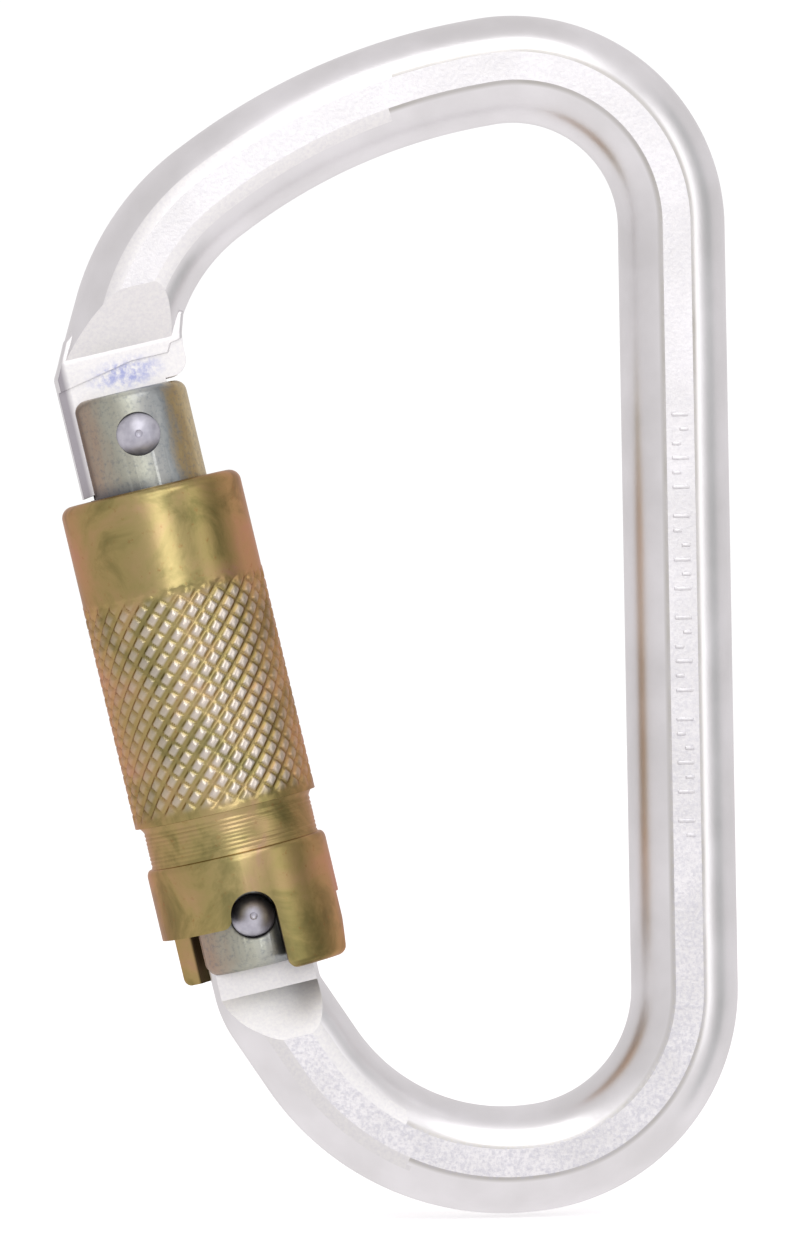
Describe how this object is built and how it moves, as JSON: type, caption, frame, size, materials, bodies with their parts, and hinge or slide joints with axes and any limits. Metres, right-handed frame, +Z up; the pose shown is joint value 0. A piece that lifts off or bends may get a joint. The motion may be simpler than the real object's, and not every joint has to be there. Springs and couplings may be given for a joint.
{
  "type": "locking carabiner",
  "caption": "Large steel offset-D connector with a hinged spring gate and a knurled sleeve that lifts and turns around the gate.",
  "frame": {"origin": "centre of the bounding box", "axes": "+Z up along the straight spine; +X from the gate toward the spine; +Y away from the front, across the carabiner's flat plane"},
  "size_m": [0.0756, 0.0206, 0.1342],
  "materials": {
    "plated_steel": "bright zinc plate with matte flats",
    "barrel_steel": "grey-olive zinc plate",
    "pin_steel": "riveted, polished",
    "yellow_chromate": "yellow chromate over turned and knurled steel",
    "spring_steel": "drawn spring wire"
  },
  "bodies": {
    "frame": {"carabiner_body": "plated_steel"},
    "gate": {"gate_barrel": "barrel_steel", "hinge_pin": "pin_steel", "latch_pin": "pin_steel", "sleeve_spring": "spring_steel", "spring_retaining_ring": "spring_steel", "gate_spring": "spring_steel"},
    "sleeve_carrier": {"thrust_washer": "spring_steel"},
    "sleeve": {"locking_sleeve": "yellow_chromate"},
    "plunger": {"gate_plunger": "pin_steel"}
  },
  "joints": [
    {"name": "gate_pivot", "type": "hinge", "parent": "frame", "child": "gate", "pos_m": [-0.01691, 0, -0.03297], "axis": [0, 1, 0], "range_deg": [0, 40], "stiffness_Nm_per_rad": 0.3, "springref_deg": -34.38},
    {"name": "sleeve_lift", "type": "slide", "parent": "gate", "child": "sleeve_carrier", "axis": [-0.2147, 0, 0.9767], "range_m": [0, 0.0033], "stiffness_N_per_m": 600, "springref_m": -0.01, "deforming": ["sleeve_spring"]},
    {"name": "sleeve_twist", "type": "hinge", "parent": "sleeve_carrier", "child": "sleeve", "pos_m": [-0.01691, 0, -0.03297], "axis": [0.2147, 0, -0.9767], "range_deg": [0, 90], "stiffness_Nm_per_rad": 0.05, "springref_deg": -17.19},
    {"name": "plunger_slide", "type": "slide", "parent": "gate", "child": "plunger", "axis": [-0.2147, 0, 0.9767], "range_m": [0, 0.00165], "deforming": ["gate_spring"]}
  ],
  "couplings": [
    {"joint": "plunger_slide", "follows": "gate_pivot", "m_per_rad": 0.00231}
  ]
}
